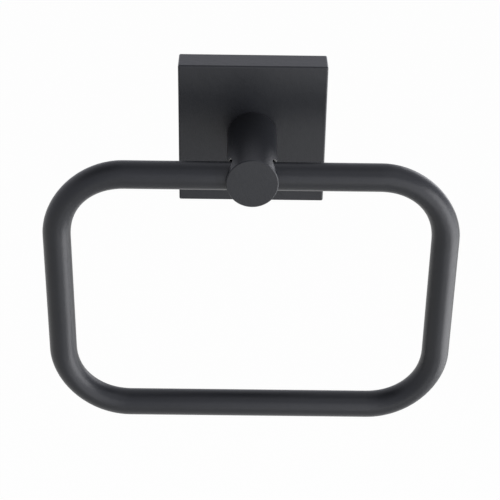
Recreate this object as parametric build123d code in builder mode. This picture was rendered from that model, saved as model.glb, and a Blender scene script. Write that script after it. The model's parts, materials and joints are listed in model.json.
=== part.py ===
from build123d import *
import os
from math import cos, pi, radians, sin, tan

# Towel ring: a square backplate on a wall bracket, a round post, and a ring of bent tube that swings in it.
# Sizes are in millimetres and degrees. The wall is the plane y = 0, the front faces -Y and +Z is up.
# The origin is the point of the wall behind the post's axis, midway between the two wall screws.

# Backplate
PLATE_SIDE = 65.0
PLATE_DEPTH = 13.2
PLATE_WALL = 2.5  # the four side walls
PLATE_FRONT = 3.2  # the front wall, which carries the post
PLATE_EDGE = 0.8  # rounding of the outside edges

# Post
POST_DIAMETER = 21.8
POST_REACH = 61.0  # from the wall to the front face
POST_NOSE = 1.8  # metal between the sockets and the front face
POST_EDGE = 0.4  # chamfer round the front face

# Ring
RING_WIDTH = 178.5  # outside
RING_HEIGHT = 128.0  # outside
TUBE_DIAMETER = 12.0
TUBE_WALL = 1.2
BEND_RADIUS = 29.5  # of the tube's centre line
BEND_FLATTENING = 0.07  # share of its diameter that the tube loses at mid-bend, in the ring's plane
BEND_WIDENING = 0.035  # share that it gains there, across that plane
BEND_STATIONS = (0, 0.25, 0.5, 0.75, 1)  # shares of a bend's length at which its section is set

# Sockets in the post's sides, which the ring's ends swing in
SOCKET_CLEARANCE = 0.5  # all round the tube
SOCKET_EDGE = 0.5  # chamfer at the mouth
SOCKET_WEB = 4.0  # metal left between the two sockets
TUBE_END_GAP = 0.4  # between each end of the tube and that web
TUBE_REST_GAP = 0.1  # between the tube and the floor of its socket

# Screw that holds the post, from behind
POST_SCREW_DIAMETER = 6.0
POST_SCREW_ENGAGEMENT = 12.0  # length inside the post
POST_SCREW_RUNOUT = 2.5  # depth of the post's thread beyond the screw
POST_SCREW_CLEARANCE = 0.3  # round the screw, in the backplate and the washer
POST_SCREW_HEAD_DIAMETER = 10.0
POST_SCREW_HEAD_HEIGHT = 3.5
POST_SCREW_KEY = 4.0  # across the flats of the hexagon socket
POST_SCREW_KEY_DEPTH = 2.2
SCREW_EDGE = 0.4  # chamfer on screws, pins and the mouth of the set screw's hole
WASHER_DIAMETER = 11.0
WASHER_THICKNESS = 1.6
WASHER_SPLIT = 1.2

# Pin that stops the post from turning
PIN_DIAMETER = 3.0
PIN_RIM = 1.8  # metal between the pin and the post's side
PIN_ENGAGEMENT = 4.0  # length inside the post
PIN_RUNOUT = 0.5  # depth of the post's hole beyond the pin

# Wall bracket, a strip of sheet with a flange folded outwards at its top and bottom
BRACKET_SHEET = 2.0
BRACKET_WIDTH = 38.0
BRACKET_MARGIN = 7.0  # from each fold to the backplate's inner wall
BRACKET_BEND = 1.0  # inside radius of the folds
FLANGE_FLARE = 15.0  # lean of the flanges, away from the bracket's middle
FLANGE_GAP = 2.0  # from the flanges' tips to the backplate's front wall
WALL_SCREW_INSET = 10.0  # from each fold to the screw hole beside it
WALL_SCREW_HOLE = 5.0
HEAD_CLEARANCE = 1.5  # round the post screw's washer, in the bracket's middle hole

# Rib inside the top of the backplate, which hooks behind the upper flange
HOOK_WIDTH = 30.0
HOOK_SETBACK = 0.8  # from the wall
HOOK_GAP = 0.15  # to the flange

# Set screw through the underside, which presses on the lower flange
SET_SCREW_DIAMETER = 5.0
SET_SCREW_RECESS = 0.5  # from the underside up to the screw
SET_SCREW_KEY = 2.5  # across the flats of the hexagon socket
SET_SCREW_KEY_DEPTH = 3.0
SET_SCREW_TIP_GAP = 0.05  # to the flange
BOSS_WIDTH = 12.0
BOSS_SETBACK = 0.8  # from the wall
BOSS_GAP = 0.5  # to the lower flange

THREAD_GAP = 0.05  # round screws and pins in their own holes

# Places that follow from the sizes
WALL = Plane.XZ  # its offset is the distance out from the wall
plate_half = PLATE_SIDE / 2
hollow_half = plate_half - PLATE_WALL
hollow_depth = PLATE_DEPTH - PLATE_FRONT
tube_radius = TUBE_DIAMETER / 2
socket_radius = tube_radius + SOCKET_CLEARANCE
socket_reach = POST_REACH - POST_NOSE - socket_radius
ring_axis_z = TUBE_REST_GAP - SOCKET_CLEARANCE
post_length = POST_REACH - PLATE_DEPTH
screw_hole_radius = POST_SCREW_DIAMETER / 2 + POST_SCREW_CLEARANCE
washer_reach = hollow_depth - WASHER_THICKNESS
head_reach = washer_reach - POST_SCREW_HEAD_HEIGHT
pin_height = POST_DIAMETER / 2 - PIN_RIM - PIN_DIAMETER / 2
bracket_half = hollow_half - BRACKET_MARGIN
wall_screw_height = bracket_half - WALL_SCREW_INSET
flare = radians(FLANGE_FLARE)
flange_reach = hollow_depth - FLANGE_GAP - BRACKET_SHEET * sin(flare)
boss_length = hollow_depth - BOSS_SETBACK
set_screw_reach = BOSS_SETBACK + boss_length / 2


def flange_height(reach):
    """Height of the upper flange's outer face, at this distance from the wall."""
    return bracket_half + reach * tan(flare)


boss_height = flange_height(hollow_depth) + BOSS_GAP
set_screw_tip = flange_height(set_screw_reach) + SET_SCREW_TIP_GAP


# Backplate: a cast shell, open to the wall
with BuildPart() as backplate:
    with BuildSketch(WALL):
        Rectangle(PLATE_SIDE, PLATE_SIDE)
    extrude(amount=PLATE_DEPTH)
    front_edges = backplate.faces().sort_by(Axis.Y)[0].edges()
    fillet(front_edges + backplate.edges().filter_by(Axis.Y), PLATE_EDGE)
    with BuildSketch(WALL):
        Rectangle(2 * hollow_half, 2 * hollow_half)
    extrude(amount=hollow_depth, mode=Mode.SUBTRACT)
    # hook rib
    hook_lift = HOOK_GAP / cos(flare)
    with BuildSketch(Plane.YZ):
        with BuildLine():
            Polyline(
                (-HOOK_SETBACK, flange_height(HOOK_SETBACK) + hook_lift),
                (-hollow_depth, flange_height(hollow_depth) + hook_lift),
                (-hollow_depth, hollow_half),
                (-HOOK_SETBACK, hollow_half),
                close=True,
            )
        make_face()
    extrude(amount=HOOK_WIDTH / 2, both=True)
    # boss for the set screw, and its threaded hole
    with BuildSketch(Plane.XY.offset(-hollow_half)):
        with Locations((0, -set_screw_reach)):
            Rectangle(BOSS_WIDTH, boss_length)
    extrude(amount=hollow_half - boss_height)
    with BuildSketch(Plane.XY.offset(-plate_half)):
        with Locations((0, -set_screw_reach)):
            Circle(SET_SCREW_DIAMETER / 2 + THREAD_GAP)
    extrude(amount=plate_half - boss_height, mode=Mode.SUBTRACT)
    chamfer(backplate.edges().filter_by(GeomType.CIRCLE).sort_by(Axis.Z)[0], SCREW_EDGE)
    # holes for the post's screw and pin
    with BuildSketch(WALL.offset(hollow_depth)):
        Circle(screw_hole_radius)
        with Locations((0, pin_height)):
            Circle(PIN_DIAMETER / 2 + THREAD_GAP)
    extrude(amount=PLATE_FRONT, mode=Mode.SUBTRACT)

# Post: turned bar, with a blind socket in each side
with BuildPart() as post:
    with BuildSketch(WALL.offset(PLATE_DEPTH)):
        Circle(POST_DIAMETER / 2)
    extrude(amount=post_length)
    chamfer(post.faces().sort_by(Axis.Y)[0].edges(), POST_EDGE)
    for side in (1, -1):
        with BuildSketch(Plane.YZ.offset(side * SOCKET_WEB / 2)):
            with Locations((-socket_reach, 0)):
                Circle(socket_radius)
        extrude(amount=side * POST_DIAMETER / 2, mode=Mode.SUBTRACT)
    mouths = post.edges().filter_by(lambda edge: edge.geom_type not in (GeomType.LINE, GeomType.CIRCLE))
    chamfer(mouths, SOCKET_EDGE)
    with BuildSketch(WALL.offset(PLATE_DEPTH)):
        Circle(POST_SCREW_DIAMETER / 2 + THREAD_GAP)
    extrude(amount=POST_SCREW_ENGAGEMENT + POST_SCREW_RUNOUT, mode=Mode.SUBTRACT)
    with BuildSketch(WALL.offset(PLATE_DEPTH)):
        with Locations((0, pin_height)):
            Circle(PIN_DIAMETER / 2 + THREAD_GAP)
    extrude(amount=PIN_ENGAGEMENT + PIN_RUNOUT, mode=Mode.SUBTRACT)

# Ring: one bent tube, from the right-hand socket round to the left-hand one
ring_x = (RING_WIDTH - TUBE_DIAMETER) / 2
ring_bottom_z = ring_axis_z - (RING_HEIGHT - TUBE_DIAMETER)
tube_end_x = SOCKET_WEB / 2 + TUBE_END_GAP
with BuildLine(WALL.offset(socket_reach)) as ring_path:
    FilletPolyline(
        (tube_end_x, ring_axis_z),
        (ring_x, ring_axis_z),
        (ring_x, ring_bottom_z),
        (-ring_x, ring_bottom_z),
        (-ring_x, ring_axis_z),
        (-tube_end_x, ring_axis_z),
        radius=BEND_RADIUS,
    )


def section_plane(edge, share):
    """Plane across the ring's path, at this share of the length of one of its edges."""
    return Plane(origin=edge @ share, x_dir=(0, 1, 0), z_dir=edge % share)


def fill_path(radius, mode):
    """Run a round section along the ring's path, flattened towards the middle of each bend."""
    for edge in ring_path.edges():
        if edge.geom_type == GeomType.LINE:
            with BuildSketch(section_plane(edge, 0)) as section:
                Circle(radius)
            extrude(section.sketch, amount=edge.length, mode=mode)
            continue
        sections = []
        for share in BEND_STATIONS:
            bent = sin(pi * share) ** 2
            with BuildSketch(section_plane(edge, share)) as section:
                Ellipse(radius * (1 + bent * BEND_WIDENING), radius * (1 - bent * BEND_FLATTENING))
            sections.append(section.sketch)
        sweep(sections, path=edge, multisection=True, mode=mode)


with BuildPart() as ring:
    fill_path(tube_radius, Mode.ADD)
    fill_path(tube_radius - TUBE_WALL, Mode.SUBTRACT)

# Post screw: its head inside the backplate, its thread in the post
with BuildPart() as post_screw:
    with BuildSketch(WALL.offset(head_reach)):
        Circle(POST_SCREW_HEAD_DIAMETER / 2)
    extrude(amount=POST_SCREW_HEAD_HEIGHT)
    chamfer(post_screw.faces().sort_by(Axis.Y)[-1].edges(), SCREW_EDGE)
    with BuildSketch(WALL.offset(washer_reach)):
        Circle(POST_SCREW_DIAMETER / 2)
    extrude(amount=PLATE_DEPTH + POST_SCREW_ENGAGEMENT - washer_reach)
    chamfer(post_screw.faces().sort_by(Axis.Y)[0].edges(), SCREW_EDGE)
    with BuildSketch(WALL.offset(head_reach)):
        RegularPolygon(POST_SCREW_KEY / 2, 6, major_radius=False)
    extrude(amount=POST_SCREW_KEY_DEPTH, mode=Mode.SUBTRACT)

# Spring washer under that screw's head, pressed flat
with BuildPart() as post_lock_washer:
    with BuildSketch(WALL.offset(washer_reach)):
        Circle(WASHER_DIAMETER / 2)
        Circle(screw_hole_radius, mode=Mode.SUBTRACT)
        with Locations((0, -WASHER_DIAMETER / 4)):
            Rectangle(WASHER_SPLIT, WASHER_DIAMETER / 2, mode=Mode.SUBTRACT)
    extrude(amount=WASHER_THICKNESS)

# Locating pin
with BuildPart() as post_locating_pin:
    with BuildSketch(WALL.offset(hollow_depth)):
        with Locations((0, pin_height)):
            Circle(PIN_DIAMETER / 2)
    extrude(amount=PLATE_FRONT + PIN_ENGAGEMENT)
    chamfer(post_locating_pin.edges().filter_by(GeomType.CIRCLE), SCREW_EDGE)

# Wall bracket: its section folded from sheet, drawn from the upper fold round the outside
with BuildPart() as wall_bracket:
    sheet_rise, sheet_run = BRACKET_SHEET * cos(flare), BRACKET_SHEET * sin(flare)
    outer_tip = (-flange_reach, flange_height(flange_reach))
    inner_tip = (outer_tip[0] - sheet_run, outer_tip[1] - sheet_rise)
    inner_corner = (-BRACKET_SHEET, flange_height(BRACKET_SHEET - sheet_run) - sheet_rise)
    upper_half = [(0, bracket_half), outer_tip, inner_tip, inner_corner]
    lower_half = [(y, -z) for y, z in reversed(upper_half)]
    with BuildSketch(Plane.YZ):
        with BuildLine():
            Polyline(*upper_half, *lower_half, close=True)
        make_face()
    extrude(amount=BRACKET_WIDTH / 2, both=True)
    folds = wall_bracket.edges().filter_by(Axis.X)
    fillet(folds.filter_by_position(Axis.Y, 0, 0), BRACKET_BEND + BRACKET_SHEET)
    folds = wall_bracket.edges().filter_by(Axis.X)
    fillet(folds.filter_by_position(Axis.Y, -BRACKET_SHEET, -BRACKET_SHEET), BRACKET_BEND)
    with BuildSketch(WALL):
        Circle(WASHER_DIAMETER / 2 + HEAD_CLEARANCE)
        with Locations((0, wall_screw_height), (0, -wall_screw_height)):
            Circle(WALL_SCREW_HOLE / 2)
    extrude(amount=BRACKET_SHEET, mode=Mode.SUBTRACT)

# Set screw: a hexagon socket below and a cone point above
with BuildPart() as set_screw:
    set_screw_radius = SET_SCREW_DIAMETER / 2
    with BuildSketch(WALL.offset(set_screw_reach)):
        with BuildLine():
            Polyline(
                (0, -set_screw_tip),
                (set_screw_radius, -set_screw_tip - set_screw_radius),
                (set_screw_radius, SET_SCREW_RECESS - plate_half),
                (0, SET_SCREW_RECESS - plate_half),
                close=True,
            )
        make_face()
    revolve(axis=Axis((0, -set_screw_reach, 0), (0, 0, 1)))
    with BuildSketch(Plane.XY.offset(SET_SCREW_RECESS - plate_half)):
        with Locations((0, -set_screw_reach)):
            RegularPolygon(SET_SCREW_KEY / 2, 6, major_radius=False)
    extrude(amount=SET_SCREW_KEY_DEPTH, mode=Mode.SUBTRACT)

pieces = {
    "backplate": backplate,
    "post": post,
    "ring": ring,
    "post_screw": post_screw,
    "post_lock_washer": post_lock_washer,
    "post_locating_pin": post_locating_pin,
    "wall_bracket": wall_bracket,
    "set_screw": set_screw,
}
os.makedirs("parts", exist_ok=True)
for name, piece in pieces.items():
    piece.part.label = name
    export_step(piece.part, f"parts/{name}.step")
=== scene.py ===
"""Towel ring: its finishes, the studio and the camera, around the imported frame. Metres and degrees."""
import json
from math import cos, pi, radians, sin

import bmesh
import bpy
from mathutils import Matrix, Vector


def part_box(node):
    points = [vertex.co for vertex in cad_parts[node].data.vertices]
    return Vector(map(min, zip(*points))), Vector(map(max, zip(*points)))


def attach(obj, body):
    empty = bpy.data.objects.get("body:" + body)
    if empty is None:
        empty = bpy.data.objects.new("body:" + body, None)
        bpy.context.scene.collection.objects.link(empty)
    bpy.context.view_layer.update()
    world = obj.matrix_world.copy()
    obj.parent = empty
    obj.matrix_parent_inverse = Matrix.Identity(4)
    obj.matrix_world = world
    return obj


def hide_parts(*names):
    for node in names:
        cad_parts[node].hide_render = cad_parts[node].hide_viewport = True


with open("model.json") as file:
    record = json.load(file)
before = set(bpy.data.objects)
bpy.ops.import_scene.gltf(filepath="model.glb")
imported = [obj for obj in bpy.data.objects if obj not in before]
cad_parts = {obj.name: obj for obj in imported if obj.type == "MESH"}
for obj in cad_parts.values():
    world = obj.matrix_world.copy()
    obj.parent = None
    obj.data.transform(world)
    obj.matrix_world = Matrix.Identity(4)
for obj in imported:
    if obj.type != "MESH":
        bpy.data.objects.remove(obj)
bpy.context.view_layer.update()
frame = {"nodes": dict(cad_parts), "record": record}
MM = 0.001

# Camera at the photograph's viewpoint
CAMERA_PLACE = (-0.0052, -0.5851, 0.2672)
CAMERA_PITCH = 29.66  # below the horizon
CAMERA_YAW = -0.51
CAMERA_ROLL = -0.93
CAMERA_LENS = 102.5  # in mm, for a sensor 36 mm wide

# Floor
FLOOR_DROP = 1.2  # from the wall screws, a usual height for a towel ring
FLOOR_SIZE = 12.0
FLOOR_TONE = (0.86, 0.86, 0.86, 1)
FLOOR_ROUGHNESS = 0.9
FLOOR_SHADOW = 0.02  # share of the floor's own shading that the camera sees

# Surroundings, where a strength of 1 is white to the camera
WHITE = (1, 1, 1, 1)
COOL = (0.90, 0.91, 1.0, 1)  # colour in the gloss
ROOM_LIGHT = 0.23  # strength as light

# Dark round parts of the surroundings in the gloss: azimuth, elevation, angles to rim and core, and tone
SHADES = {
    "ceiling": (-82, 64, 37, 14, 0.34),
    "back": (180, 40, 35, 10, 0.86),
}

# Softboxes: azimuth from the front towards +X, elevation, width, height and radiance
SOFTBOXES = {
    "key": (68, -10, 1.0, 2.0, 5.0),
    "front": (22, 0, 1.1, 1.7, 1.6),
    "side": (104, -20, 0.6, 1.2, 2.4),
    "rim": (148, 4, 0.5, 1.0, 1.7),
    "overhead": (40, 62, 0.9, 0.7, 0.6),
}
SOFTBOX_DISTANCE = 1.4
SOFTBOX_TINT = (0.97, 0.97, 1.0)
STUDIO_MIDDLE = (0, -0.05, -0.045)  # near the object's middle

# Noise: the values between which most of it lies
NOISE_LOW = 0.3
NOISE_HIGH = 0.7

# Powder coat
COAT_DARK = (0.0100, 0.0110, 0.0136, 1)
COAT_LIGHT = (0.0118, 0.0129, 0.0158, 1)
COAT_GLOSS = 0.34  # specular level
COAT_ROUGHNESS = (0.33, 0.39)
COAT_MOTTLE = 18 * MM
COAT_PEEL = 2.5 * MM
COAT_PEEL_HEIGHT = 0.05 * MM
COAT_GRAIN = 0.45 * MM
COAT_GRAIN_HEIGHT = 0.03 * MM

# Zinc-plated steel
ZINC_DARK = (0.50, 0.51, 0.53, 1)
ZINC_LIGHT = (0.63, 0.64, 0.65, 1)
ZINC_ROUGHNESS = (0.26, 0.44)
ZINC_CLOUD = 6 * MM
ZINC_LINES = 0.15 * MM
ZINC_LINES_STRETCH = (80, 1, 1)
ZINC_LINES_HEIGHT = 0.01 * MM
ZINC_LINES_STRENGTH = 0.6

# Black-oxide steel
OXIDE_DARK = (0.030, 0.030, 0.033, 1)
OXIDE_LIGHT = (0.075, 0.074, 0.076, 1)
OXIDE_METALLIC = 0.6
OXIDE_ROUGHNESS = (0.30, 0.48)
OXIDE_BLOOM = 1.2 * MM
OXIDE_GRAIN = 0.2 * MM
OXIDE_GRAIN_HEIGHT = 0.005 * MM

# Thread profile, in shares of the pitch
THREAD_DEPTH = 0.613
CREST_END = 0.125
ROOT_START = 0.4375
ROOT_END = 0.6875

# Screws; a key is measured across the flats of its hexagon
SCREW_COLUMNS = 48  # points round a screw; the corners of a hexagon are among them
SCREW_EDGE = 0.4 * MM  # bevel of the head
SHARP_ANGLE = 30
POST_SCREW_DIAMETER = 6.0 * MM
POST_SCREW_PITCH = 1.0 * MM
POST_SCREW_KEY = 4.0 * MM
POST_SCREW_KEY_DEPTH = 2.2 * MM
SET_SCREW_PITCH = 0.8 * MM
SET_SCREW_KEY = 2.5 * MM
SET_SCREW_KEY_DEPTH = 3.0 * MM


class Shader:
    """A new node material with a Principled shader, and short ways to add its nodes."""

    def __init__(self, name):
        self.material = bpy.data.materials.new(name)
        self.material.use_nodes = True
        self.tree = self.material.node_tree
        self.surface = self.tree.nodes["Principled BSDF"]

    def add(self, kind):
        return self.tree.nodes.new(kind)

    def link(self, source, target):
        self.tree.links.new(source, target)

    def noise(self, size, detail=2.0, stretch=(1, 1, 1)):
        """Noise whose grains are about this size, in metres, drawn out along an axis by its stretch."""
        place = self.add("ShaderNodeTexCoord")
        mapping = self.add("ShaderNodeMapping")
        mapping.inputs["Scale"].default_value = [1 / (size * share) for share in stretch]
        texture = self.add("ShaderNodeTexNoise")
        texture.inputs["Scale"].default_value = 1.0
        texture.inputs["Detail"].default_value = detail
        self.link(place.outputs["Object"], mapping.inputs["Vector"])
        self.link(mapping.outputs["Vector"], texture.inputs["Vector"])
        return texture.outputs["Fac"]

    def spread(self, source, low, high):
        """A number that runs from low to high as the noise does."""
        spread = self.add("ShaderNodeMapRange")
        spread.inputs["From Min"].default_value = NOISE_LOW
        spread.inputs["From Max"].default_value = NOISE_HIGH
        spread.inputs["To Min"].default_value = low
        spread.inputs["To Max"].default_value = high
        self.link(source, spread.inputs["Value"])
        return spread.outputs["Result"]

    def tones(self, source, dark, light):
        """A colour that runs from dark to light as the noise does."""
        ramp = self.add("ShaderNodeValToRGB")
        first, last = ramp.color_ramp.elements
        first.position = NOISE_LOW
        first.color = dark
        last.position = NOISE_HIGH
        last.color = light
        self.link(source, ramp.inputs["Fac"])
        return ramp.outputs["Color"]

    def bump(self, source, height, strength=1.0, below=None):
        """Relief of this height, in metres, on top of another relief."""
        bump = self.add("ShaderNodeBump")
        bump.inputs["Strength"].default_value = strength
        bump.inputs["Distance"].default_value = height
        self.link(source, bump.inputs["Height"])
        if below:
            self.link(below, bump.inputs["Normal"])
        return bump.outputs["Normal"]

    def set(self, name, source):
        self.link(source, self.surface.inputs[name])


def coat_material():
    """Matte black powder coat: a very fine grain, a faint orange peel and a slight mottle."""
    shader = Shader("matte_black_coat")
    grain = shader.noise(COAT_GRAIN)
    peel = shader.noise(COAT_PEEL)
    mottle = shader.noise(COAT_MOTTLE, detail=3.0)
    relief = shader.bump(peel, COAT_PEEL_HEIGHT)
    shader.surface.inputs["Specular IOR Level"].default_value = COAT_GLOSS
    shader.set("Base Color", shader.tones(mottle, COAT_DARK, COAT_LIGHT))
    shader.set("Roughness", shader.spread(grain, *COAT_ROUGHNESS))
    shader.set("Normal", shader.bump(grain, COAT_GRAIN_HEIGHT, below=relief))
    return shader.material


def zinc_material():
    """Zinc-plated steel: fine drawn lines along X and a cloudy plating."""
    shader = Shader("zinc_plated_steel")
    lines = shader.noise(ZINC_LINES, stretch=ZINC_LINES_STRETCH)
    cloud = shader.noise(ZINC_CLOUD, detail=4.0)
    shader.surface.inputs["Metallic"].default_value = 1.0
    shader.set("Base Color", shader.tones(cloud, ZINC_DARK, ZINC_LIGHT))
    shader.set("Roughness", shader.spread(lines, *ZINC_ROUGHNESS))
    shader.set("Normal", shader.bump(lines, ZINC_LINES_HEIGHT, strength=ZINC_LINES_STRENGTH))
    return shader.material


def oxide_material():
    """Black-oxide steel with an oily bloom."""
    shader = Shader("black_oxide_steel")
    bloom = shader.noise(OXIDE_BLOOM, detail=4.0)
    grain = shader.noise(OXIDE_GRAIN)
    shader.surface.inputs["Metallic"].default_value = OXIDE_METALLIC
    shader.set("Base Color", shader.tones(bloom, OXIDE_DARK, OXIDE_LIGHT))
    shader.set("Roughness", shader.spread(bloom, *OXIDE_ROUGHNESS))
    shader.set("Normal", shader.bump(grain, OXIDE_GRAIN_HEIGHT))
    return shader.material


def dress_nodes(finishes):
    """Give each node of the frame the finish of its material slot."""
    for part in frame["record"]["subparts"]:
        mesh = frame["nodes"][part["node"]].data
        mesh.materials.clear()
        mesh.materials.append(finishes[part["material_slot"]])


class Screw:
    """A screw along +Z, made of loops of points round its axis, each joined to the one before."""

    def __init__(self):
        self.mesh = bmesh.new()
        self.last = None

    def point(self, column, radius, height):
        angle = 2 * pi * column / SCREW_COLUMNS
        return self.mesh.verts.new((radius * cos(angle), radius * sin(angle), height))

    def loop(self, height, radii):
        points = [self.point(column, radius, height) for column, radius in enumerate(radii)]
        if self.last:
            for column in range(SCREW_COLUMNS):
                beside = (column + 1) % SCREW_COLUMNS
                self.mesh.faces.new((self.last[column], self.last[beside], points[beside], points[column]))
        self.last = points

    def circle(self, height, radius):
        self.loop(height, [radius] * SCREW_COLUMNS)

    def hexagon(self, height, flats):
        sixth = SCREW_COLUMNS // 6
        turns = [pi / 3 * ((column % sixth) / sixth - 0.5) for column in range(SCREW_COLUMNS)]
        self.loop(height, [flats / 2 / cos(turn) for turn in turns])

    def cap(self):
        self.mesh.faces.new(self.last)

    def tip(self, height):
        apex = self.mesh.verts.new((0, 0, height))
        for column in range(SCREW_COLUMNS):
            self.mesh.faces.new((self.last[column], self.last[(column + 1) % SCREW_COLUMNS], apex))

    def thread(self, radius, pitch, start, end):
        """A thread between two heights, bevelled to its root at both."""
        root = radius - THREAD_DEPTH * pitch
        profile = ((0, radius), (CREST_END, radius), (ROOT_START, root), (ROOT_END, root))
        steps = len(profile)
        self.circle(start, root)
        lower = self.last
        self.last = None
        self.circle(end, root)
        upper = self.last
        points = {}

        def place(column, row):
            """The point of the helix there, or of the loop at the end that it runs into."""
            if column == SCREW_COLUMNS:
                return place(0, row + steps)
            share, reach = profile[row % steps]
            height = start + pitch * (row // steps + share + column / SCREW_COLUMNS)
            if height <= start:
                return lower[column]
            if height >= end:
                return upper[column]
            if (column, row) not in points:
                bevelled = min(reach, root + height - start, root + end - height)
                points[column, row] = self.point(column, bevelled, height)
            return points[column, row]

        # The rows run from a turn below the start to past the end
        turns = int((end - start) / pitch) + 2
        for row in range(-steps, turns * steps):
            for column in range(SCREW_COLUMNS):
                corners = [(column, row), (column + 1, row), (column + 1, row + 1), (column, row + 1)]
                face = list(dict.fromkeys(place(*corner) for corner in corners))
                if len(face) > 2:
                    self.mesh.faces.new(face)

    def replace(self, node, material, placement):
        """Put the screw in the place of a node of the frame."""
        bmesh.ops.recalc_face_normals(self.mesh, faces=self.mesh.faces)
        mesh = bpy.data.meshes.new(node + "_threaded")
        self.mesh.to_mesh(mesh)
        self.mesh.free()
        mesh.transform(placement)
        mesh.shade_smooth()
        mesh.set_sharp_from_angle(angle=radians(SHARP_ANGLE))
        mesh.materials.append(material)
        piece = bpy.data.objects.new(node + "_threaded", mesh)
        bpy.context.scene.collection.objects.link(piece)
        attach(piece, "wall_mount")
        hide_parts(node)


def make_post_screw(material):
    """Socket screw from behind, its head on the lock washer. Its heights are distances from the wall."""
    low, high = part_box("post_screw")
    head_radius = (high[0] - low[0]) / 2
    head = -high[1]
    seat = -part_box("post_lock_washer")[1][1]
    screw = Screw()
    screw.hexagon(head + POST_SCREW_KEY_DEPTH, POST_SCREW_KEY)
    screw.cap()
    screw.hexagon(head, POST_SCREW_KEY)
    screw.circle(head, head_radius - SCREW_EDGE)
    screw.circle(head + SCREW_EDGE, head_radius)
    screw.circle(seat, head_radius)
    screw.thread(POST_SCREW_DIAMETER / 2, POST_SCREW_PITCH, seat, -low[1])
    screw.cap()
    screw.replace("post_screw", material, Matrix.Rotation(radians(90), 4, "X"))


def make_set_screw(material):
    """Set screw from below, with a cone point."""
    low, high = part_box("set_screw")
    radius = (high[0] - low[0]) / 2
    root = radius - THREAD_DEPTH * SET_SCREW_PITCH
    screw = Screw()
    screw.hexagon(low[2] + SET_SCREW_KEY_DEPTH, SET_SCREW_KEY)
    screw.cap()
    screw.hexagon(low[2], SET_SCREW_KEY)
    screw.thread(radius, SET_SCREW_PITCH, low[2], high[2] - root)
    screw.tip(high[2])
    screw.replace("set_screw", material, Matrix.Translation((0, (low[1] + high[1]) / 2, 0)))


def combine(tree, operation, sources):
    """One number out of several."""
    result = sources[0]
    for source in sources[1:]:
        node = tree.nodes.new("ShaderNodeMath")
        node.operation = operation
        tree.links.new(result, node.inputs[0])
        tree.links.new(source, node.inputs[1])
        result = node.outputs[0]
    return result


def mix_shaders(tree, share, first, second):
    """The first shader, and the second by this share."""
    mix = tree.nodes.new("ShaderNodeMixShader")
    tree.links.new(share, mix.inputs[0])
    tree.links.new(first, mix.inputs[1])
    tree.links.new(second, mix.inputs[2])
    return mix.outputs[0]


def floor_material():
    """Pale and matte, but white to the camera and in the gloss, apart from a share of its own shading."""
    shader = Shader("floor")
    shader.surface.inputs["Base Color"].default_value = FLOOR_TONE
    shader.surface.inputs["Roughness"].default_value = FLOOR_ROUGHNESS
    white = shader.add("ShaderNodeEmission")
    white.inputs["Color"].default_value = WHITE
    white.inputs["Strength"].default_value = 1.0
    path = shader.add("ShaderNodeLightPath").outputs
    rays = [path["Is Camera Ray"], path["Is Glossy Ray"], path["Is Transmission Ray"]]
    share = shader.add("ShaderNodeMath")
    share.operation = "MULTIPLY"
    share.inputs[1].default_value = 1 - FLOOR_SHADOW
    shader.link(combine(shader.tree, "MAXIMUM", rays), share.inputs[0])
    surface = mix_shaders(shader.tree, share.outputs[0], shader.surface.outputs[0], white.outputs[0])
    shader.link(surface, shader.tree.nodes["Material Output"].inputs["Surface"])
    return shader.material


def make_floor():
    """A wide floor below the object."""
    bpy.ops.mesh.primitive_plane_add(size=FLOOR_SIZE, location=(0, 0, -FLOOR_DROP))
    floor = bpy.context.object
    floor.name = "floor"
    floor.data.materials.append(floor_material())


def direction(azimuth, elevation):
    """Unit vector out of the studio's middle; azimuth 0 is the front and 90 is +X."""
    turn = radians(azimuth)
    rise = radians(elevation)
    return Vector((cos(rise) * sin(turn), -cos(rise) * cos(turn), sin(rise)))


def add_shade(tree, azimuth, elevation, rim, core, tone):
    """Strength of the surroundings in the gloss: 1 outside a dark round part, and its tone in its core."""
    place = tree.nodes.new("ShaderNodeTexCoord")
    nearness = tree.nodes.new("ShaderNodeVectorMath")
    nearness.operation = "DOT_PRODUCT"
    nearness.inputs[1].default_value = direction(azimuth, elevation)
    shade = tree.nodes.new("ShaderNodeMapRange")
    shade.inputs["From Min"].default_value = cos(radians(rim))
    shade.inputs["From Max"].default_value = cos(radians(core))
    shade.inputs["To Min"].default_value = 1.0
    shade.inputs["To Max"].default_value = tone
    tree.links.new(place.outputs["Generated"], nearness.inputs[0])
    tree.links.new(nearness.outputs["Value"], shade.inputs["Value"])
    return shade.outputs["Result"]


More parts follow.
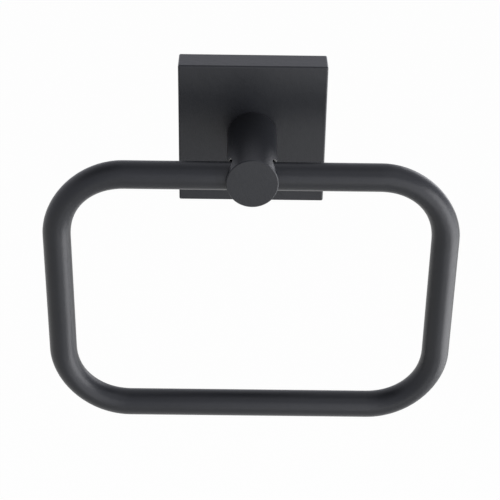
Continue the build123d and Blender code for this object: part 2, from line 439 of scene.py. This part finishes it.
def make_world():
    """White surroundings, dimmer as light than to the camera, with some dark parts in the gloss."""
    world = bpy.data.worlds.new("studio")
    world.use_nodes = True
    bpy.context.scene.world = world
    tree = world.node_tree

    def surroundings(colour, strength=1.0):
        node = tree.nodes.new("ShaderNodeBackground")
        node.inputs["Color"].default_value = colour
        node.inputs["Strength"].default_value = strength
        return node

    light = surroundings(WHITE, ROOM_LIGHT)
    gloss = surroundings(COOL)
    white = surroundings(WHITE)
    shades = [add_shade(tree, *shade) for shade in SHADES.values()]
    tree.links.new(combine(tree, "MULTIPLY", shades), gloss.inputs["Strength"])
    path = tree.nodes.new("ShaderNodeLightPath").outputs
    mirrored = combine(tree, "MAXIMUM", [path["Is Glossy Ray"], path["Is Transmission Ray"]])
    surface = mix_shaders(tree, mirrored, light.outputs[0], gloss.outputs[0])
    surface = mix_shaders(tree, path["Is Camera Ray"], surface, white.outputs[0])
    tree.links.new(surface, tree.nodes["World Output"].inputs["Surface"])


def add_softbox(name, azimuth, elevation, width, height, radiance):
    """A rectangular area light, turned towards the studio's middle."""
    away = direction(azimuth, elevation)
    data = bpy.data.lights.new(name, "AREA")
    data.color = SOFTBOX_TINT
    data.shape = "RECTANGLE"
    data.size = width
    data.size_y = height
    data.energy = radiance * pi * width * height
    light = bpy.data.objects.new(name, data)
    light.location = Vector(STUDIO_MIDDLE) + SOFTBOX_DISTANCE * away
    light.rotation_euler = away.to_track_quat("Z", "Y").to_euler()
    bpy.context.scene.collection.objects.link(light)


def make_camera():
    """The photograph's view."""
    data = bpy.data.cameras.new("camera")
    data.lens = CAMERA_LENS
    camera = bpy.data.objects.new("camera", data)
    yaw = Matrix.Rotation(radians(CAMERA_YAW), 4, "Z")
    pitch = Matrix.Rotation(radians(90 - CAMERA_PITCH), 4, "X")
    roll = Matrix.Rotation(radians(-CAMERA_ROLL), 4, "Z")
    camera.matrix_world = Matrix.Translation(CAMERA_PLACE) @ yaw @ pitch @ roll
    bpy.context.scene.collection.objects.link(camera)
    bpy.context.scene.camera = camera


finishes = {"black_coat": coat_material(), "zinc_steel": zinc_material(), "black_steel": oxide_material()}
dress_nodes(finishes)
make_post_screw(finishes["zinc_steel"])
make_set_screw(finishes["black_steel"])
make_floor()
make_world()
for name, place in SOFTBOXES.items():
    add_softbox(name, *place)
make_camera()
bpy.context.scene.view_settings.view_transform = "Standard"
